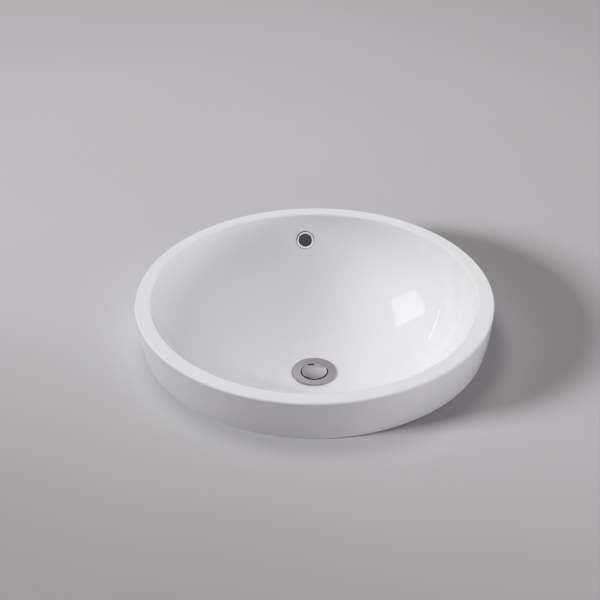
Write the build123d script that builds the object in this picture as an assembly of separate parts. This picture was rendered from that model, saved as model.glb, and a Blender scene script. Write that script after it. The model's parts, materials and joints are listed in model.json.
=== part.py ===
from build123d import *
import math
import os

# A round drop-in basin with an overflow and a press-to-open waste, in millimetres.
# The origin is on the basin's axis, in the plane of the worktop under the skirt's foot.
# +Z points up, and +Y points to the overflow, at the back of the basin.

# Ceramic: the rim and the skirt that stands on the worktop
basin_d = 480.0
rim_h = 58.0
rim_w = 20.5
rim_outer_round = 2.5
rim_inner_round = 3.0
skirt_draft = 5.5
skirt_t = 10.0
groove_top = 43.0
foot_round = 2.5
foot_inner_round = 1.5

# Ceramic: the bowl, half an ellipse whose centre is above the rim
bowl_depth = 138.0
bowl_centre_rise = 22.0
bowl_t = 9.0

# Ceramic: the waste socket under the bowl
socket_r = 38.0
socket_drop = 40.5
socket_hole_d = 46.0
socket_blend = 9.0
seat_drop = 2.5
seat_land_w = 4.0
seat_blend = 1.0

# Ceramic: the overflow hole and its hollow duct
overflow_drop = 37.5
overflow_hole_d = 22.0
duct_gap = 8.0
duct_w = 30.0
duct_wall = 5.5
duct_rise = 10.5
duct_round = 6.0
duct_inner_round = 2.5

# Overflow ring
ring_bore_d = 19.6
ring_flange_d = 27.6
ring_flange_t = 1.7
ring_sleeve_t = 0.9
ring_leg_reach = 3.0
ring_barb = 0.5
ring_slit_w = 2.0

# Waste flange and tube
flange_d = 65.0
flange_edge_t = 1.9
flange_edge_round = 0.9
flange_lip_w = 1.6
flange_lip_round = 2.0
dish_drop = 0.6
throat_round = 0.6
thread_d = 41.9
thread_pitch = 2.309
thread_depth = 0.8
tube_bore_d = 35.0
throat_gap = 1.25
seat_ledge_r = 16.4
tail_socket_depth = 8.0
tail_socket_wall = 1.95
seat_ledge_h = 1.5
slot_w = 14.0
slot_h = 13.0
slot_drop = 6.2
slot_round = 4.0
slot_count = 4
spider_rib_t = 3.0
spider_h = 6.5
spider_hub_r = 7.5
spider_rib_count = 4

# Seals, washer and nut that clamp the waste to the ceramic
gasket_t = 1.5
gasket_inset = 1.0
lower_seal_h = 8.0
lower_seal_d = 62.0
lower_seal_draft = 2.0
lower_seal_nose = 5.0
lower_seal_nose_draft = 1.2
washer_t = 2.0
nut_af = 50.0
nut_h = 8.0
nut_chamfer = 1.2
thread_spare = 14.0

# Tail pipe
tail_d = 32.0
tail_t = 1.2
tail_length = 75.0
tail_collar_d = 43.0
tail_collar_h = 4.0
tail_collar_flats = 38.0
tail_washer_t = 1.5

# Plug
cap_d = 36.0
cap_edge_rise = 0.85
cap_dome = 1.0
cap_edge_h = 6.0
cap_edge_round = 0.8
cap_top_t = 2.5
cap_skirt_t = 2.2
hub_r = 5.5
hub_h = 8.6
spindle_d = 6.0
spindle_thin_d = 4.8
spindle_thread_l = 7.0
plug_travel = 9.0
seal_t = 2.5
seal_lip_t = 2.2
seal_chamfer = 1.0

# Mechanism
housing_d = 15.0
housing_bore_d = 11.0
housing_floor_t = 2.5
guide_w = 1.8
guide_depth = 0.8
guide_count = 4
gland_af = 17.0
gland_h = 4.0
gland_spigot_h = 3.5
gland_drop = 5.0
o_ring_t = 1.5
sleeve_h = 5.0
rotor_h = 5.4
rotor_neck = 0.8
tooth_count = 8
tooth_h = 1.0
clip_t = 0.8
clip_gap_deg = 90.0
clip_r = 3.5
spring_wire = 0.9
spring_mean_d = 8.4
spring_turns = 5.5
spring_room = 13.0
clip_groove = 0.5
spindle_tip = 1.3
root_sink = 0.6
stud_d = 8.0
stud_l = 15.0
stud_nut_af = 13.0
stud_nut_h = 5.0
lock_washer_t = 1.0
lock_washer_d = 14.0
lock_washer_slit = 1.2

# Clearances
fit = 0.05
slide_fit = 0.1
loose = 0.3
past = 1.0

# Heights and radii that follow from the values above
basin_r = basin_d / 2
draft = math.radians(skirt_draft)
inner_edge_r = basin_r - rim_w
bowl_centre_z = rim_h + bowl_centre_rise
overflow_z = rim_h - overflow_drop
bowl_b = bowl_depth + bowl_centre_rise
bowl_a = inner_edge_r / math.sqrt(1 - (bowl_centre_rise / bowl_b) ** 2)
side_top = (basin_r, rim_h - rim_outer_round)
foot_r = side_top[0] - side_top[1] * math.tan(draft)
foot_inner_r = foot_r - skirt_t
socket_hole_r = socket_hole_d / 2
thread_r = thread_d / 2
land_r = socket_hole_r + seat_land_w
tail_socket_r = thread_r - thread_depth - tail_socket_wall
flange_r = flange_d / 2
tube_bore_r = tube_bore_d / 2
cap_r = cap_d / 2
throat_r = cap_r + throat_gap


def bowl_z(radius, offset=0.0):
    """Height of the bowl's ellipse at a radius; offset gives the ellipse outside it."""
    share = radius / (bowl_a + offset)
    return bowl_centre_z - (bowl_b + offset) * math.sqrt(1 - share**2)


def bowl_r(height, offset=0.0):
    """Radius of the bowl's ellipse at a height."""
    share = (height - bowl_centre_z) / (bowl_b + offset)
    return (bowl_a + offset) * math.sqrt(1 - share**2)


flange_z = bowl_z(flange_r) + fit + flange_edge_t
seat_z = bowl_z(flange_r) - seat_drop - gasket_t
socket_z = bowl_z(0) - socket_drop
cap_edge_z = flange_z + cap_edge_rise
cap_under_z = cap_edge_z - cap_edge_h
bead_r = cap_r - slide_fit
bead_top_z = cap_under_z - slide_fit
bead_end_z = bead_top_z - seal_t
seal_seat_z = bead_end_z + seal_chamfer + (throat_r - bead_r) - loose * math.sqrt(2)
hub_end_z = cap_under_z + cap_edge_h - cap_top_t - hub_h
gland_top_z = hub_end_z - gland_drop
housing_top_z = gland_top_z - gland_h
spigot_end_z = housing_top_z - gland_spigot_h
sleeve_top_z = spigot_end_z - plug_travel - loose
sleeve_end_z = sleeve_top_z - sleeve_h
rotor_top_z = sleeve_end_z - loose
rotor_end_z = rotor_top_z - rotor_h
housing_floor_z = rotor_end_z - spring_room
stud_top_z = housing_floor_z - housing_floor_t
spider_end_z = stud_top_z - spider_h
nut_top_z = socket_z - lower_seal_h - washer_t
nut_end_z = nut_top_z - nut_h
tube_end_z = nut_end_z - thread_spare
tail_collar_z = tube_end_z - tail_washer_t
tail_end_z = tail_collar_z - tail_collar_h - tail_length


def section(corners, rounds=None):
    """A closed face through (x, y) corners; rounds gives a radius for some of them."""
    face = make_face(Polyline(*corners, close=True))
    for index, radius in (rounds or {}).items():
        corner = face.vertices().sort_by_distance(Vector(*corners[index]))[0]
        face = fillet(corner, radius)
    return face


def turned(corners, rounds=None):
    """Turns a closed outline of (radius, height) corners about Z."""
    return revolve(Plane.XZ * section(corners, rounds), Axis.Z)


def tube(outer_r, inner_r, top_z, end_z):
    """A plain ring or tube about Z."""
    return turned([(inner_r, end_z), (outer_r, end_z), (outer_r, top_z), (inner_r, top_z)])


def hexagon(across_flats, bore_r, top_z, end_z):
    """A hexagon nut about Z, with its corners turned down at both ends."""
    height = top_z - end_z
    prism = extrude(RegularPolygon(across_flats / 2, 6, major_radius=False), height)
    corner_r = across_flats / math.sqrt(3)
    turn = min(nut_chamfer, height / 4)
    blank = turned(
        [
            (bore_r, end_z),
            (corner_r - 2 * turn, end_z),
            (corner_r, end_z + turn),
            (corner_r, top_z - turn),
            (corner_r - 2 * turn, top_z),
            (bore_r, top_z),
        ]
    )
    return (Pos(0, 0, end_z) * prism) & blank


def around(shape, count, start=0.0):
    """Copies of a shape, evenly spaced about Z."""
    step = 360 / count
    return [Rot(0, 0, start + index * step) * shape for index in range(count)]


def ellipse_below(offset, top):
    """The half plane inside the bowl's ellipse, grown by offset, up to a height."""
    shape = Pos(0, bowl_centre_z) * Ellipse(bowl_a + offset, bowl_b + offset)
    low = bowl_centre_z - bowl_b - offset - past
    keep = section([(0, low), (basin_r + 50, low), (basin_r + 50, top), (0, top)])
    return shape & keep


def basin_turned():
    """The basin without its duct and overflow hole: skirt, rim, bowl and waste socket."""
    outline = (
        Line((0, 0), (foot_r, 0))
        + TangentArc(side_top, (foot_r, 0), tangent=(0, -1))
        + RadiusArc(side_top, (basin_r - rim_outer_round, rim_h), -rim_outer_round)
        + Line((basin_r - rim_outer_round, rim_h), (0, rim_h))
        + Line((0, rim_h), (0, 0))
    )
    under = section(
        [
            (0, -past),
            (foot_inner_r - past * math.tan(draft), -past),
            (foot_inner_r + groove_top * math.tan(draft), groove_top),
            (0, groove_top),
        ]
    )
    socket = section([(0, socket_z), (socket_r, socket_z), (socket_r, bowl_z(0)), (0, bowl_z(0))])
    face = make_face(outline) - under + ellipse_below(bowl_t, groove_top + past) + socket
    solid = revolve(Plane.XZ * (face - ellipse_below(0, rim_h + past)), Axis.Z)
    inner_edge = solid.edges().filter_by(GeomType.CIRCLE).sort_by_distance((inner_edge_r, 0, rim_h))[0]
    solid = fillet(inner_edge, rim_inner_round)
    for radius, size in ((foot_r, foot_round), (foot_inner_r, foot_inner_round)):
        edge = solid.edges().filter_by(GeomType.CIRCLE).sort_by_distance((radius, 0, 0))[0]
        solid = fillet(edge, size)
    joint_z = bowl_z(socket_r, bowl_t)
    edge = solid.edges().filter_by(GeomType.CIRCLE).sort_by_distance((socket_r, 0, joint_z))[0]
    return fillet(edge, socket_blend)


def waste_seat():
    """What the waste takes out of the ceramic: a shallow seat and the socket's hole."""
    rise = 2 * (bowl_z(flange_r) - seat_z)
    return turned(
        [
            (0, socket_z - past),
            (socket_hole_r, socket_z - past),
            (socket_hole_r, seat_z),
            (land_r, seat_z),
            (land_r + rise, seat_z + rise),
            (0, seat_z + rise),
        ],
        {3: seat_blend},
    )


def duct_solid():
    """The duct's outside: a band behind the bowl, from the rim's underside to the socket."""
    top = groove_top + past
    depth = bowl_t + duct_gap + duct_wall
    reach = foot_r - skirt_t / 2
    skirt_middle = reach + top * math.tan(draft)
    limit = section([(0, socket_z), (reach, socket_z), (reach, 0), (skirt_middle, top), (0, top)])
    band = (ellipse_below(depth, top) & limit) - ellipse_below(bowl_t / 2, top + past)
    solid = extrude(Plane.YZ * band, duct_w / 2 + duct_wall, both=True)
    outer = [e for e in solid.edges() if is_duct_edge(e, depth)]
    return fillet(outer, duct_round)


def is_duct_edge(edge, offset):
    """True for a long edge that follows the bowl's ellipse grown by offset."""
    middle = edge @ 0.5
    on_ellipse = abs(bowl_r(middle.Z, offset) - middle.Y) < 0.01
    return edge.length > socket_r and on_ellipse


def duct_passage():
    """The duct's hollow, which opens into the socket's hole."""
    top = overflow_z + duct_rise
    depth = bowl_t + duct_gap
    band = ellipse_below(depth, top) - ellipse_below(bowl_t, top + past)
    solid = extrude(Plane.YZ * band, duct_w / 2, both=True)
    outer = [e for e in solid.edges() if is_duct_edge(e, depth)]
    return fillet(outer, duct_inner_round)


def overflow_plane():
    """The plane on the bowl's wall at the overflow, with its Z axis into the bowl."""
    radius = bowl_r(overflow_z)
    slope_r = radius / bowl_a**2
    slope_z = (overflow_z - bowl_centre_z) / bowl_b**2
    return Plane(
        origin=(0, radius, overflow_z), x_dir=(1, 0, 0), z_dir=(0, -slope_r, -slope_z)
    )


def basin_body():
    hole = overflow_plane() * Cylinder(overflow_hole_d / 2, 2 * (bowl_t + past))
    body = basin_turned() + duct_solid()
    return body - waste_seat() - duct_passage() - hole


def wall_bow(half_width):
    """How far the bowl's wall stands off its tangent plane, half_width up the wall."""
    sine = (overflow_z - bowl_centre_z) / bowl_b
    speed = bowl_a**2 * sine**2 + bowl_b**2 * (1 - sine**2)
    wall_radius = speed**1.5 / (bowl_a * bowl_b)
    return wall_radius - math.sqrt(wall_radius**2 - half_width**2)


def overflow_ring():
    """A domed ring on a split sleeve with barbs that grip behind the ceramic."""
    bore_r = ring_bore_d / 2
    sleeve_r = bore_r + ring_sleeve_t
    flange_outer_r = ring_flange_d / 2
    back = wall_bow(flange_outer_r) + fit
    front = back + ring_flange_t
    end = -(bowl_t + ring_leg_reach)
    barb_z = -(bowl_t + loose)
    ring = turned(
        [
            (bore_r, end),
            (sleeve_r, end),
            (sleeve_r + ring_barb, barb_z - ring_barb),
            (sleeve_r + ring_barb, barb_z),
            (sleeve_r, barb_z),
            (sleeve_r, back),
            (flange_outer_r, back),
            (flange_outer_r, back + ring_flange_t / 3),
            (flange_outer_r - ring_flange_t, front),
            (bore_r + ring_flange_t / 2, front),
            (bore_r, front - ring_flange_t / 2),
        ],
        {8: ring_flange_t * 0.7, 9: ring_flange_t / 3},
    )
    slit_h = ring_leg_reach + bowl_t / 2
    slit = Pos(0, 0, end + slit_h / 2 - past / 2) * Box(ring_flange_d, ring_slit_w, slit_h + past)
    for cut in around(slit, 2, 45):
        ring -= cut
    return overflow_plane() * ring


def thread_points(top_z, end_z):
    """Corners of a threaded outline, from the top down, one groove for each pitch."""
    points = []
    z = top_z
    while z - thread_pitch > end_z:
        points += [
            (thread_r, z),
            (thread_r, z - thread_pitch * 0.25),
            (thread_r - thread_depth, z - thread_pitch * 0.55),
            (thread_r - thread_depth, z - thread_pitch * 0.7),
        ]
        z -= thread_pitch
    return points + [(thread_r, z)]


def waste_body():
    """The dished flange, the slotted tube with its outer thread, and the spider."""
    dish_z = flange_z - dish_drop
    under_z = flange_z - flange_edge_t
    land_z = seat_z + gasket_t
    ledge_z = seal_seat_z - (throat_r - seat_ledge_r)
    ledge_end_z = ledge_z - seat_ledge_h
    socket_top_z = tube_end_z + tail_socket_depth
    thread_top_z = socket_z - past
    corners = [
        (throat_r, dish_z),
        (flange_r - flange_lip_w, flange_z),
        (flange_r, flange_z),
        (flange_r, under_z),
        (land_r + (under_z - land_z) - loose, under_z),
        (land_r - loose, land_z),
        (thread_r, land_z),
        *thread_points(thread_top_z, tube_end_z + thread_pitch / 2),
        (thread_r, tube_end_z),
        (tail_socket_r, tube_end_z),
        (tail_socket_r, socket_top_z),
        (tube_bore_r, socket_top_z),
        (tube_bore_r, ledge_end_z - (tube_bore_r - seat_ledge_r)),
        (seat_ledge_r, ledge_end_z),
        (seat_ledge_r, ledge_z),
        (throat_r, seal_seat_z),
    ]
    rounds = {0: throat_round, 1: flange_lip_round, 2: flange_edge_round}
    body = turned(corners, rounds)
    slot_z = seat_z - slot_drop - slot_h / 2
    slot = Pos(thread_r, 0, slot_z) * Box(thread_r, slot_w, slot_h)
    slot = fillet(slot.edges().filter_by(Axis.X), slot_round)
    for cut in around(slot, slot_count):
        body -= cut
    rib_l = tube_bore_r - spider_hub_r + 2 * root_sink
    rib_x = (tube_bore_r + spider_hub_r) / 2
    rib = Pos(rib_x, 0, stud_top_z - spider_h / 2) * Box(rib_l, spider_rib_t, spider_h)
    for piece in around(rib, spider_rib_count, 45):
        body += piece
    hub = tube(spider_hub_r, stud_d / 2 + fit, stud_top_z, spider_end_z)
    return body + hub


def flange_gasket():
    return tube(land_r - gasket_inset, thread_r + fit, seat_z + gasket_t, seat_z)


def lower_seal():
    bore_r = thread_r + fit
    nose_r = socket_hole_r - 2 * fit
    end_z = socket_z - lower_seal_h
    return turned(
        [
            (bore_r, end_z),
            (lower_seal_d / 2, end_z),
            (lower_seal_d / 2 - lower_seal_draft, socket_z),
            (nose_r, socket_z),
            (nose_r - lower_seal_nose_draft, socket_z + lower_seal_nose),
            (bore_r, socket_z + lower_seal_nose),
        ],
        {1: 1.0, 2: 1.5},
    )


def friction_washer():
    return tube(lower_seal_d / 2, thread_r + loose, nut_top_z + washer_t, nut_top_z)


def backnut():
    return hexagon(nut_af, thread_r + fit, nut_top_z, nut_end_z)


def tail_washer():
    return tube(thread_r - loose, tail_socket_r, tube_end_z, tail_collar_z)


def tail_pipe():
    """A pipe with a threaded spigot for the waste's socket and a collar with two flats."""
    pipe_r = tail_d / 2
    bore_r = pipe_r - tail_t
    collar_end_z = tail_collar_z - tail_collar_h
    pipe = turned(
        [
            (bore_r, tail_end_z),
            (pipe_r, tail_end_z),
            (pipe_r, collar_end_z),
            (tail_collar_d / 2, collar_end_z),
            (tail_collar_d / 2, tail_collar_z),
            (tail_socket_r - fit, tail_collar_z),
            (tail_socket_r - fit, tube_end_z + tail_socket_depth - loose),
            (bore_r, tube_end_z + tail_socket_depth - loose),
        ],
        {0: tail_t * 0.4, 1: tail_t * 0.4, 3: 0.6, 4: 0.6},
    )
    side = Box(tail_collar_d, tail_collar_d, tail_collar_h + 2 * past)
    offset = tail_collar_flats / 2 + tail_collar_d / 2
    z = (tail_collar_z + collar_end_z) / 2
    keep_below = Box(2 * tail_collar_d, 2 * tail_collar_d, past)
    for sign in (-1, 1):
        flat = Pos(0, sign * offset, z) * side
        pipe -= flat - Pos(0, 0, z + tail_collar_h / 2 + past / 2) * keep_below
    return pipe


def plug_cap():
    """A shallow dome with a skirt and a threaded hub."""
    edge = (cap_r, cap_edge_z)
    crown = (0, cap_edge_z + cap_dome)
    inside_z = cap_edge_z - cap_top_t
    skirt_r = cap_r - cap_skirt_t
    sag_radius = (cap_r**2 + cap_dome**2) / (2 * cap_dome)
    outline = (
        RadiusArc(crown, edge, sag_radius)
        + Polyline(edge, (cap_r, cap_under_z), (skirt_r, cap_under_z), (skirt_r, inside_z))
        + Polyline((skirt_r, inside_z), (hub_r, inside_z), (hub_r, hub_end_z), (0, hub_end_z))
        + Line((0, hub_end_z), crown)
    )
    cap = revolve(Plane.XZ * make_face(outline), Axis.Z)
    rim = cap.edges().filter_by(GeomType.CIRCLE).sort_by_distance((cap_r, 0, cap_edge_z))[0]
    cap = fillet(rim, cap_edge_round)
    hole_z = hub_end_z + spindle_thread_l / 2 - past / 2
    return cap - Pos(0, 0, hole_z) * Cylinder(spindle_d / 2 + fit, spindle_thread_l + past)


def plug_seal():
    """A rubber ring: a lip inside the cap's skirt and a bead that meets the seat's cone."""
    skirt_r = cap_r - cap_skirt_t
    lip_r = skirt_r - slide_fit
    return turned(
        [
            (lip_r - seal_lip_t, bead_end_z),
            (bead_r - seal_chamfer, bead_end_z),
            (bead_r, bead_end_z + seal_chamfer),
            (bead_r, bead_top_z),
            (lip_r, bead_top_z),
            (lip_r, bead_top_z + seal_t),
            (lip_r - seal_lip_t, bead_top_z + seal_t),
        ]
    )


def plug_spindle():
    """The stem: threaded in the cap, thinner below its shoulder, with a clip groove."""
    thick_r = spindle_d / 2
    thin_r = spindle_thin_d / 2
    groove_r = thin_r - clip_groove
    clip_z = rotor_end_z - fit
    end_z = clip_z - clip_t - spindle_tip
    return turned(
        [
            (0, end_z),
            (thin_r, end_z),
            (thin_r, clip_z - clip_t - fit),
            (groove_r, clip_z - clip_t - fit),
            (groove_r, clip_z + fit / 2),
            (thin_r, clip_z + fit / 2),
            (thin_r, sleeve_top_z),
            (thick_r, sleeve_top_z),
            (thick_r, hub_end_z + spindle_thread_l - loose),
            (0, hub_end_z + spindle_thread_l - loose),
        ],
        {1: 0.4, 8: 0.5},
    )


def toothed(shape, top_z, end_z, upward):
    """Cuts a crown of pointed teeth into one end of a ring."""
    face_z = top_z if upward else end_z
    sign = 1 if upward else -1
    reach = housing_bore_d
    half = math.pi * spindle_thin_d / tooth_count / 2
    notch = section([(-half, face_z), (half, face_z), (0, face_z - sign * tooth_h)])
    notch = extrude(Plane.YZ * notch, reach)
    for cut in around(notch, tooth_count, 180 / tooth_count):
        shape -= cut
    return shape


def lugs(radius, root_r, top_z, end_z):
    """The lugs on the side of a ring, which run in the barrel's guides."""
    width = guide_w - 2 * slide_fit
    length = radius - root_r + root_sink
    height = top_z - end_z
    block = Pos((radius + root_r - root_sink) / 2, 0, end_z + height / 2) * Box(length, width, height)
    return around(block, guide_count)


def plunger_sleeve():
    bore_r = spindle_thin_d / 2 + fit
    outer_r = housing_bore_d / 2 - slide_fit
    sleeve = tube(outer_r, bore_r, sleeve_top_z, sleeve_end_z)
    for lug in lugs(outer_r + guide_depth, outer_r, sleeve_top_z, sleeve_end_z + tooth_h):
        sleeve += lug
    return toothed(sleeve, sleeve_top_z, sleeve_end_z, False)


def index_rotor():
    bore_r = spindle_thin_d / 2 + fit
    outer_r = housing_bore_d / 2 - slide_fit
    neck_r = outer_r - rotor_neck
    rotor = tube(neck_r, bore_r, rotor_top_z, rotor_end_z)
    for lug in lugs(outer_r - fit, neck_r, rotor_top_z - tooth_h, rotor_end_z + tooth_h):
        rotor += lug
    return toothed(rotor, rotor_top_z, rotor_end_z, True)


def spindle_circlip():
    """An open ring in the stem's groove."""
    top_z = rotor_end_z - fit
    ring = tube(clip_r, spindle_thin_d / 2 - clip_groove + fit / 2, top_z, top_z - clip_t)
    half = math.radians(clip_gap_deg / 2)
    reach = 2 * clip_r
    gap = section([(0, 0), (reach, -reach * math.tan(half)), (reach, reach * math.tan(half))])
    gap = extrude(gap, 2 * clip_t)
    return ring - Pos(0, 0, top_z - 1.5 * clip_t) * gap


def return_spring():
    """A coil between the barrel's floor and the rotor."""
    wire_r = spring_wire / 2
    start_z = housing_floor_z + wire_r + slide_fit
    height = spring_room - 2 * (wire_r + slide_fit)
    mean_r = spring_mean_d / 2
    path = Helix(height / spring_turns, height, mean_r)
    start = Plane(origin=path @ 0, z_dir=path % 0)
    return Pos(0, 0, start_z) * sweep(start * Circle(wire_r), path)


def mechanism_housing():
    """The barrel, with guides for the lugs and a threaded stud under its floor."""
    outer_r = housing_d / 2
    bore_r = housing_bore_d / 2
    stud_r = stud_d / 2
    barrel = turned(
        [
            (0, stud_top_z - stud_l),
            (stud_r, stud_top_z - stud_l),
            (stud_r, stud_top_z),
            (outer_r, stud_top_z),
            (outer_r, housing_top_z),
            (bore_r, housing_top_z),
            (bore_r, housing_floor_z),
            (0, housing_floor_z),
        ],
        {1: 0.8},
    )
    guide_end_z = sleeve_end_z - loose
    depth = guide_depth + root_sink
    guide_h = housing_top_z - guide_end_z + past
    guide_x = bore_r + (guide_depth - root_sink) / 2
    guide = Pos(guide_x, 0, guide_end_z + guide_h / 2) * Box(depth, guide_w, guide_h)
    for cut in around(guide, guide_count):
        barrel -= cut
    return barrel


def gland_cap():
    """A hexagon cap with a spigot in the barrel and a groove round the stem."""
    bore_r = spindle_d / 2 + slide_fit
    spigot_r = housing_bore_d / 2 - fit
    groove_r = bore_r + o_ring_t + slide_fit
    groove_z = housing_top_z + o_ring_t / 2
    head = hexagon(gland_af, bore_r, gland_top_z, housing_top_z)
    spigot = tube(spigot_r, bore_r, housing_top_z, spigot_end_z)
    groove = tube(groove_r, bore_r - fit, groove_z, groove_z - o_ring_t - 2 * fit)
    return head + spigot - groove


def stem_o_ring():
    wire_r = o_ring_t / 2
    centre_r = spindle_d / 2 + fit + wire_r
    z = housing_top_z + o_ring_t / 2 - fit - wire_r
    return Pos(0, 0, z) * Torus(centre_r, wire_r)


def lock_washer():
    """A split spring washer under the spider's hub."""
    ring = tube(lock_washer_d / 2, stud_d / 2 + loose, spider_end_z, spider_end_z - lock_washer_t)
    slit = Pos(lock_washer_d / 2, 0, spider_end_z - lock_washer_t / 2)
    return ring - slit * Box(lock_washer_d, lock_washer_slit, 2 * lock_washer_t)


def mechanism_locknut():
    top_z = spider_end_z - lock_washer_t
    return hexagon(stud_nut_af, stud_d / 2 + fit, top_z, top_z - stud_nut_h)


sub_parts = {
    "basin_body": basin_body,
    "overflow_ring": overflow_ring,
    "waste_body": waste_body,
    "flange_gasket": flange_gasket,
    "lower_seal": lower_seal,
    "friction_washer": friction_washer,
    "backnut": backnut,
    "tail_washer": tail_washer,
    "tail_pipe": tail_pipe,
    "plug_cap": plug_cap,
    "plug_seal": plug_seal,
    "plug_spindle": plug_spindle,
    "plunger_sleeve": plunger_sleeve,
    "index_rotor": index_rotor,
    "spindle_circlip": spindle_circlip,
    "return_spring": return_spring,
    "mechanism_housing": mechanism_housing,
    "gland_cap": gland_cap,
    "stem_o_ring": stem_o_ring,
    "lock_washer": lock_washer,
    "mechanism_locknut": mechanism_locknut,
}

os.makedirs("parts", exist_ok=True)
for node, make in sub_parts.items():
    export_step(make(), f"parts/{node}.step")
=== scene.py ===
import json
import math

import bmesh
import bpy
from mathutils import Matrix, Quaternion, Vector


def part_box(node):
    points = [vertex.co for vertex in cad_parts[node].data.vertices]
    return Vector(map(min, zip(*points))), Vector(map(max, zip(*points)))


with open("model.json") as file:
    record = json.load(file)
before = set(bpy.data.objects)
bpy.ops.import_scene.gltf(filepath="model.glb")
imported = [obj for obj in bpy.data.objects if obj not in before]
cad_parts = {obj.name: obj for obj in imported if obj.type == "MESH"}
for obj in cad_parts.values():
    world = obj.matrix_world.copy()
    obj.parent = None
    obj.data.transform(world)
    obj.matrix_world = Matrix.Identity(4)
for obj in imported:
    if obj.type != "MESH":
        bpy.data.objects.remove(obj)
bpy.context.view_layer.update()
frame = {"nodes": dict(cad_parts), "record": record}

# Lengths are in metres, except where a name says otherwise

# Camera, fitted to the photograph's outlines, in its frame of 600 by 600 pixels
FRAME_PX = 600
FOCAL_PX = 1015.0
SENSOR_MM = 36.0
CAMERA_DISTANCE = 1.4
CAMERA_ELEVATION = math.radians(34.62)
CAMERA_AZIMUTH = math.radians(-3.72)
CAMERA_YAW = math.radians(2.77)
CAMERA_PITCH = math.radians(33.10)
CAMERA_ROLL = math.radians(-0.69)

# The basin's rim and the foot's ring, which covers the edge of the floor's hole
BASIN_HIGH = Vector(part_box("basin_body")[1])
BASIN_R = BASIN_HIGH.x
RIM_Z = BASIN_HIGH.z
FOOT_INSET = 0.0053
FOOT_W = 0.010

# The bowl's ellipsoid, whose middle lies above the rim
BOWL_CENTRE_OVER_RIM = 0.022
BOWL_CENTRE_Z = RIM_Z + BOWL_CENTRE_OVER_RIM
BOWL_A = 0.2216
BOWL_B = 0.160

# Depths behind the bowl's face, half width and top that enclose the inside of the overflow's duct, where
# near-black painted shade goes
DUCT_NEAR = 0.002
DUCT_FAR = 0.0195
DUCT_HALF_W = 0.0165
DUCT_UNDER_RIM = 0.022
DUCT_TOP_Z = RIM_Z - DUCT_UNDER_RIM

# The floor's sheet, and the stretch along a direction over which its painted shade fades from the darker
# front to the pale back
FLOOR_HOLE_R = BASIN_R - FOOT_INSET - FOOT_W / 2
FLOOR_R = 4.0
FLOOR_SIDES = 128
FADE_WAY = (0.45, 1.0, 0.0)
FADE_START = -0.55
FADE_END = -0.12

# Colours of the plate on the cap, ring and pipe, and of a darker copy of the same plate on the waste's
# flange, which is painted shade standing in for its darker reflections
PLATE = (0.70, 0.665, 0.705)
SHADED_FLANGE_PLATE = (0.57, 0.535, 0.57)

# Most of a noise's values lie between these
NOISE_LOW = 0.3
NOISE_HIGH = 0.7

# Light: azimuth is counted from +X towards +Y, and elevation from the floor, in degrees.
# A lobe of the sky is its azimuth, elevation, sharpness and strength.
WORLD_COLOUR = (1.0, 0.9, 0.945)
WORLD_LEVEL = 0.125
WORLD_LOBES = (
    (0.0, 10.0, 3.0, 0.075),
    (-90.0, 20.0, 3.0, 0.02),
)
GLOSS_COLOUR = (1.0, 1.0, 1.0)
GLOSS_LEVEL = 0.10
GLOSS_LOBES = (
    (76.0, 31.0, 16.0, 0.62),
    (-90.0, 23.0, 14.0, 1.5),
    (0.0, 40.0, 3.0, 0.25),
)
LAMPS = (
    {"name": "floor_side", "azimuth": 190.0, "elevation": 18.0, "distance": 20.0, "size": (4.8, 3.2),
     "watts": 5360.0, "glossy": False, "lights": "floor"},
    {"name": "floor_high", "azimuth": 120.0, "elevation": 70.0, "distance": 2.2, "size": (1.0, 1.0),
     "watts": 13.0, "glossy": False, "lights": "floor"},
    {"name": "key", "azimuth": 147.6, "elevation": 39.9, "distance": 2.0, "size": (0.72, 0.60),
     "watts": 2.6, "glossy": True, "lights": "basin", "roll": 18.0},
    {"name": "streak", "azimuth": 118.0, "elevation": 18.5, "distance": 3.0, "size": (2.0, 0.05),
     "watts": 1.1, "glossy": True, "lights": "basin"},
    {"name": "side", "azimuth": 160.0, "elevation": 32.0, "distance": 12.0, "size": (4.0, 2.9),
     "watts": 352.0, "glossy": False, "lights": "basin"},
    {"name": "low_side", "azimuth": 180.0, "elevation": 22.0, "distance": 12.0, "size": (4.0, 2.9),
     "watts": 215.0, "glossy": False, "lights": "basin"},
    {"name": "top", "azimuth": 90.0, "elevation": 86.0, "distance": 4.0, "size": (2.6, 2.6),
     "watts": 42.0, "glossy": False, "lights": "basin"},
    {"name": "front", "azimuth": -90.0, "elevation": 70.0, "distance": 4.0, "size": (2.0, 2.0),
     "watts": 33.0, "glossy": False, "lights": "basin"},
    {"name": "right", "azimuth": -12.0, "elevation": 5.0, "distance": 4.0, "size": (2.4, 0.6),
     "watts": 51.0, "glossy": False, "lights": "basin"},
)


def make_camera():
    """The camera of the photograph."""
    data = bpy.data.cameras.new("camera")
    data.lens = FOCAL_PX / FRAME_PX * SENSOR_MM
    data.sensor_width = SENSOR_MM
    camera = bpy.data.objects.new("camera", data)
    flat = math.cos(CAMERA_ELEVATION)
    place = CAMERA_DISTANCE * Vector(
        (
            flat * math.sin(CAMERA_AZIMUTH),
            -flat * math.cos(CAMERA_AZIMUTH),
            math.sin(CAMERA_ELEVATION),
        )
    )
    forward = Vector(
        (
            math.sin(CAMERA_YAW) * math.cos(CAMERA_PITCH),
            math.cos(CAMERA_YAW) * math.cos(CAMERA_PITCH),
            -math.sin(CAMERA_PITCH),
        )
    )
    level = forward.cross(Vector((0, 0, 1))).normalized()
    plumb = level.cross(forward)
    right = math.cos(CAMERA_ROLL) * level + math.sin(CAMERA_ROLL) * plumb
    up = math.cos(CAMERA_ROLL) * plumb - math.sin(CAMERA_ROLL) * level
    turn = Matrix((right, up, -forward)).transposed()
    camera.matrix_world = Matrix.Translation(place) @ turn.to_4x4()
    bpy.context.collection.objects.link(camera)
    bpy.context.scene.camera = camera


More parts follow.
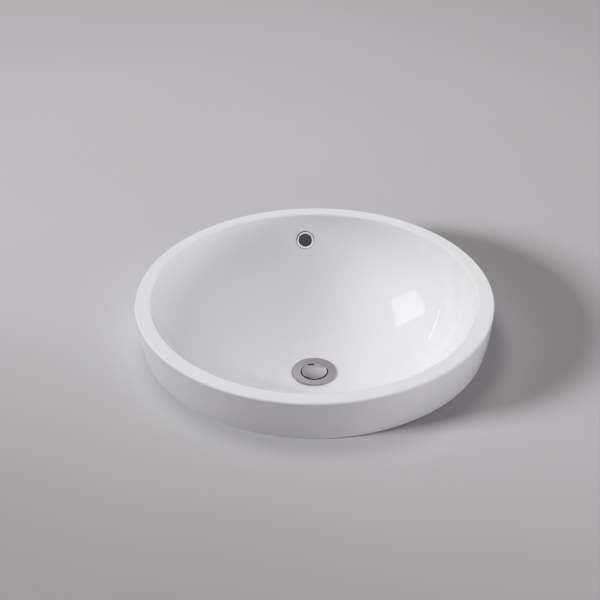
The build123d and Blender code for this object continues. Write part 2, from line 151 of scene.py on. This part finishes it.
def aim(azimuth, elevation):
    """The unit vector towards an azimuth and an elevation, in degrees."""
    a, e = math.radians(azimuth), math.radians(elevation)
    return Vector((math.cos(e) * math.cos(a), math.cos(e) * math.sin(a), math.sin(e)))


def make_lamp(floor, name, azimuth, elevation, distance, size, watts, glossy, lights, roll=0.0):
    """A rectangular soft box that looks at the basin, and lights the floor or all but the floor."""
    data = bpy.data.lights.new(name, "AREA")
    data.shape = "RECTANGLE"
    data.size, data.size_y = size
    data.energy = watts
    lamp = bpy.data.objects.new(name, data)
    way = aim(azimuth, elevation)
    lamp.location = distance * way
    turn = Quaternion((0, 0, 1), math.radians(roll))
    lamp.rotation_euler = ((-way).to_track_quat("-Z", "Y") @ turn).to_euler()
    lamp.visible_glossy = glossy
    bpy.context.collection.objects.link(lamp)
    receiver = bpy.data.collections.new(f"{name}_receiver")
    receiver.objects.link(floor)
    state = "INCLUDE" if lights == "floor" else "EXCLUDE"
    receiver.collection_objects[0].light_linking.link_state = state
    lamp.light_linking.receiver_collection = receiver


def sky(tree, level, lobes):
    """An even level of light, plus soft lobes."""
    way = tree.nodes.new("ShaderNodeTexCoord").outputs["Generated"]
    total = None
    for azimuth, elevation, sharpness, strength in lobes:
        lean = tree.nodes.new("ShaderNodeVectorMath")
        lean.operation = "DOT_PRODUCT"
        lean.inputs[1].default_value = aim(azimuth, elevation)
        tree.links.new(way, lean.inputs[0])
        facing = tree.nodes.new("ShaderNodeMath")
        facing.operation = "MAXIMUM"
        facing.inputs[1].default_value = 0.0
        tree.links.new(lean.outputs["Value"], facing.inputs[0])
        lobe = tree.nodes.new("ShaderNodeMath")
        lobe.operation = "POWER"
        lobe.inputs[1].default_value = sharpness
        tree.links.new(facing.outputs[0], lobe.inputs[0])
        sum_up = tree.nodes.new("ShaderNodeMath")
        sum_up.operation = "MULTIPLY_ADD"
        sum_up.inputs[1].default_value = strength
        sum_up.inputs[2].default_value = level
        tree.links.new(lobe.outputs[0], sum_up.inputs[0])
        if total is not None:
            tree.links.new(total, sum_up.inputs[2])
        total = sum_up.outputs[0]
    return total


def make_world():
    """A grey studio, with its own sky for what shines."""
    world = bpy.data.worlds.new("studio")
    bpy.context.scene.world = world
    world.use_nodes = True
    tree = world.node_tree
    tree.nodes.clear()
    out = tree.nodes.new("ShaderNodeOutputWorld")
    mix = tree.nodes.new("ShaderNodeMixShader")
    ray = tree.nodes.new("ShaderNodeLightPath")
    tree.links.new(ray.outputs["Is Glossy Ray"], mix.inputs["Fac"])
    matt_input, glossy_input = mix.inputs[1], mix.inputs[2]
    skies = (
        (matt_input, WORLD_COLOUR, WORLD_LEVEL, WORLD_LOBES),
        (glossy_input, GLOSS_COLOUR, GLOSS_LEVEL, GLOSS_LOBES),
    )
    for socket, colour, level, lobes in skies:
        back = tree.nodes.new("ShaderNodeBackground")
        back.inputs["Color"].default_value = (*colour, 1)
        tree.links.new(sky(tree, level, lobes), back.inputs["Strength"])
        tree.links.new(back.outputs["Background"], socket)
    tree.links.new(mix.outputs["Shader"], out.inputs["Surface"])


class Surface:
    """A material with one Principled shader, and helpers that feed it from textures."""

    def __init__(self, name, colour, roughness, **sockets):
        self.material = bpy.data.materials.new(name)
        self.material.use_nodes = True
        self.tree = self.material.node_tree
        self.shader = self.tree.nodes["Principled BSDF"]
        self.shader.inputs["Base Color"].default_value = (*colour, 1)
        self.shader.inputs["Roughness"].default_value = roughness
        for socket, value in sockets.items():
            self.shader.inputs[socket.replace("_", " ")].default_value = value
        self.place = self.tree.nodes.new("ShaderNodeTexCoord").outputs["Object"]

    def node(self, kind, **settings):
        """A new node with its settings."""
        made = self.tree.nodes.new(kind)
        for name, value in settings.items():
            setattr(made, name, value)
        return made

    def link(self, start, end):
        self.tree.links.new(start, end)

    def noise(self, scale, detail=2.0, stretch=(1, 1, 1)):
        """A noise of about 1 / scale metres."""
        spread = self.node("ShaderNodeMapping")
        spread.inputs["Scale"].default_value = stretch
        made = self.node("ShaderNodeTexNoise")
        made.inputs["Scale"].default_value = scale
        made.inputs["Detail"].default_value = detail
        self.link(self.place, spread.inputs["Vector"])
        self.link(spread.outputs["Vector"], made.inputs["Vector"])
        return made.outputs["Fac"]

    def ramp(self, value, low, high):
        """Turns a noise into a colour between low and high."""
        made = self.node("ShaderNodeValToRGB")
        made.color_ramp.elements[0].position = NOISE_LOW
        made.color_ramp.elements[0].color = (*low, 1)
        made.color_ramp.elements[1].position = NOISE_HIGH
        made.color_ramp.elements[1].color = (*high, 1)
        self.link(value, made.inputs["Fac"])
        return made.outputs["Color"]

    def span(self, value, low, high, start=NOISE_LOW, end=NOISE_HIGH):
        """Maps a number from start..end to low..high."""
        made = self.node("ShaderNodeMapRange")
        for socket, number in zip(("From Min", "From Max", "To Min", "To Max"), (start, end, low, high)):
            made.inputs[socket].default_value = number
        self.link(value, made.inputs["Value"])
        return made.outputs["Result"]

    def compare(self, value, operation, limit):
        """1 where a number is above or below a limit, and 0 elsewhere."""
        made = self.node("ShaderNodeMath", operation=operation)
        made.inputs[1].default_value = limit
        self.link(value, made.inputs[0])
        return made.outputs[0]

    def mix(self, share, start, end):
        """A colour between start and end."""
        made = self.node("ShaderNodeMix", data_type="RGBA")
        self.link(share, made.inputs["Factor"])
        colours = [socket for socket in made.inputs if socket.type == "RGBA"]
        self.link(start, colours[0])
        self.link(end, colours[1])
        return next(socket for socket in made.outputs if socket.type == "RGBA")

    def colour(self, value):
        self.link(value, self.shader.inputs["Base Color"])

    def roughness(self, value):
        self.link(value, self.shader.inputs["Roughness"])

    def bump(self, height, depth, before=None):
        """Adds relief of depth metres, on top of an earlier relief."""
        made = self.node("ShaderNodeBump")
        made.inputs["Distance"].default_value = depth
        self.link(height, made.inputs["Height"])
        if before is not None:
            self.link(before, made.inputs["Normal"])
        self.link(made.outputs["Normal"], self.shader.inputs["Normal"])
        return made.outputs["Normal"]


def shell_share(look, offset):
    """Below 1 inside the bowl's ellipsoid grown by offset, and above 1 outside it."""
    move = look.node("ShaderNodeVectorMath", operation="SUBTRACT")
    move.inputs[1].default_value = (0, 0, BOWL_CENTRE_Z)
    look.link(look.place, move.inputs[0])
    shrink = look.node("ShaderNodeVectorMath", operation="DIVIDE")
    shrink.inputs[1].default_value = (BOWL_A + offset, BOWL_A + offset, BOWL_B + offset)
    look.link(move.outputs["Vector"], shrink.inputs[0])
    length = look.node("ShaderNodeVectorMath", operation="LENGTH")
    look.link(shrink.outputs["Vector"], length.inputs[0])
    return length.outputs["Value"]


def duct_shade_mask(look):
    """1 inside the overflow's duct and its hole, where near-black painted shade goes, and 0 elsewhere.
    """
    axes = look.node("ShaderNodeSeparateXYZ")
    look.link(look.place, axes.inputs["Vector"])
    mask = look.compare(shell_share(look, DUCT_NEAR), "GREATER_THAN", 1.0)
    limits = (
        (shell_share(look, DUCT_FAR), "LESS_THAN", 1.0),
        (axes.outputs["X"], "LESS_THAN", DUCT_HALF_W),
        (axes.outputs["X"], "GREATER_THAN", -DUCT_HALF_W),
        (axes.outputs["Y"], "GREATER_THAN", 0.0),
        (axes.outputs["Z"], "LESS_THAN", DUCT_TOP_Z),
    )
    for value, operation, limit in limits:
        both = look.node("ShaderNodeMath", operation="MULTIPLY")
        look.link(mask, both.inputs[0])
        look.link(look.compare(value, operation, limit), both.inputs[1])
        mask = both.outputs[0]
    return mask


def glaze():
    """White glaze with the slow waves of a dipped coat, and near-black painted shade inside the
    overflow's duct.
    """
    look = Surface("glaze", (0.895, 0.898, 0.915), 0.018, IOR=1.52)
    tone = look.ramp(look.noise(9.0), (0.89, 0.893, 0.915), (0.91, 0.913, 0.925))
    # Near-black painted shade for the inside of the duct, where little light gets in
    painted_duct_shade = look.ramp(look.noise(120.0, 4.0), (0.02, 0.019, 0.018), (0.034, 0.032, 0.03))
    look.colour(look.mix(duct_shade_mask(look), tone, painted_duct_shade))
    waves = look.bump(look.noise(14.0, 1.0), 0.0006)
    look.bump(look.noise(420.0, 1.0), 0.000004, waves)
    return look.material


def chrome(name, colour):
    """Polished plate with fine wiping marks."""
    look = Surface(name, colour, 0.06, Metallic=1.0)
    look.roughness(look.span(look.noise(160.0, 4.0), 0.03, 0.09))
    look.bump(look.noise(90.0, 2.0), 0.00002)
    return look.material


def brass():
    """Machined brass."""
    look = Surface("brass", (0.74, 0.55, 0.27), 0.28, Metallic=1.0)
    look.colour(look.ramp(look.noise(60.0, 4.0), (0.66, 0.47, 0.22), (0.80, 0.62, 0.33)))
    look.roughness(look.span(look.noise(30.0, 3.0, (1, 1, 40)), 0.2, 0.38))
    return look.material


def steel():
    """Drawn stainless steel."""
    look = Surface("steel", (0.6, 0.6, 0.61), 0.3, Metallic=1.0)
    look.roughness(look.span(look.noise(40.0, 3.0, (1, 1, 30)), 0.22, 0.4))
    return look.material


def rubber():
    """Black rubber with a slight bloom."""
    look = Surface("rubber", (0.03, 0.03, 0.032), 0.65)
    look.colour(look.ramp(look.noise(70.0, 5.0), (0.022, 0.022, 0.024), (0.05, 0.05, 0.052)))
    look.bump(look.noise(900.0, 3.0), 0.00003)
    return look.material


def washer_plastic():
    """Milky polyethylene."""
    look = Surface("washer_plastic", (0.78, 0.78, 0.74), 0.45)
    look.roughness(look.span(look.noise(120.0, 4.0), 0.36, 0.55))
    return look.material


def acetal():
    """Moulded white acetal."""
    look = Surface("acetal", (0.84, 0.84, 0.81), 0.3)
    look.roughness(look.span(look.noise(200.0, 3.0), 0.24, 0.38))
    return look.material


def floor_look():
    """Pale grey sheet, darker in front of the basin, which is painted shade for the light's falloff."""
    look = Surface("floor", (0.62, 0.615, 0.625), 0.9)
    along = look.node("ShaderNodeVectorMath", operation="DOT_PRODUCT")
    along.inputs[1].default_value = FADE_WAY
    look.link(look.place, along.inputs[0])
    pale = look.ramp(look.noise(1.3, 3.0), (0.61, 0.605, 0.615), (0.64, 0.635, 0.645))
    # Darker colour towards the front: painted shade
    front_shade = look.ramp(look.noise(1.3, 3.0), (0.44, 0.435, 0.44), (0.47, 0.465, 0.47))
    fade = look.span(along.outputs["Value"], 0.0, 1.0, FADE_START, FADE_END)
    look.colour(look.mix(fade, front_shade, pale))
    look.bump(look.noise(700.0, 3.0), 0.00003)
    return look.material


def make_floor():
    """A flat sheet at the foot of the skirt, with a hole for the bowl under the foot."""
    ring = bmesh.new()
    loops = []
    for radius in (FLOOR_HOLE_R, FLOOR_R):
        turn = [2 * math.pi * index / FLOOR_SIDES for index in range(FLOOR_SIDES)]
        loops.append([ring.verts.new((radius * math.cos(a), radius * math.sin(a), 0)) for a in turn])
    inner, outer = loops
    for index in range(FLOOR_SIDES):
        after = (index + 1) % FLOOR_SIDES
        ring.faces.new((inner[index], outer[index], outer[after], inner[after]))
    mesh = bpy.data.meshes.new("floor")
    ring.to_mesh(mesh)
    ring.free()
    mesh.materials.append(floor_look())
    floor = bpy.data.objects.new("floor", mesh)
    bpy.context.collection.objects.link(floor)
    return floor


def dress(node, material):
    """Gives a CAD node one material."""
    materials = frame["nodes"][node].data.materials
    materials.clear()
    materials.append(material)


def dress_nodes():
    """Gives every CAD node the look of its material slot, and the flange a darker copy of the plate,
    which is painted shade.
    """
    looks = {
        "glaze": glaze(),
        "chrome": chrome("chrome", PLATE),
        "brass": brass(),
        "steel": steel(),
        "rubber": rubber(),
        "washer_plastic": washer_plastic(),
        "acetal": acetal(),
    }
    for part in frame["record"]["subparts"]:
        dress(part["node"], looks[part["material_slot"]])
    # The flange's darker plate is painted shade in place of darker reflections
    dress("waste_body", chrome("shaded_flange_chrome", SHADED_FLANGE_PLATE))


make_camera()
make_world()
stage_floor = make_floor()
for lamp in LAMPS:
    make_lamp(stage_floor, **lamp)
dress_nodes()

bpy.context.scene.view_settings.view_transform = "Standard"
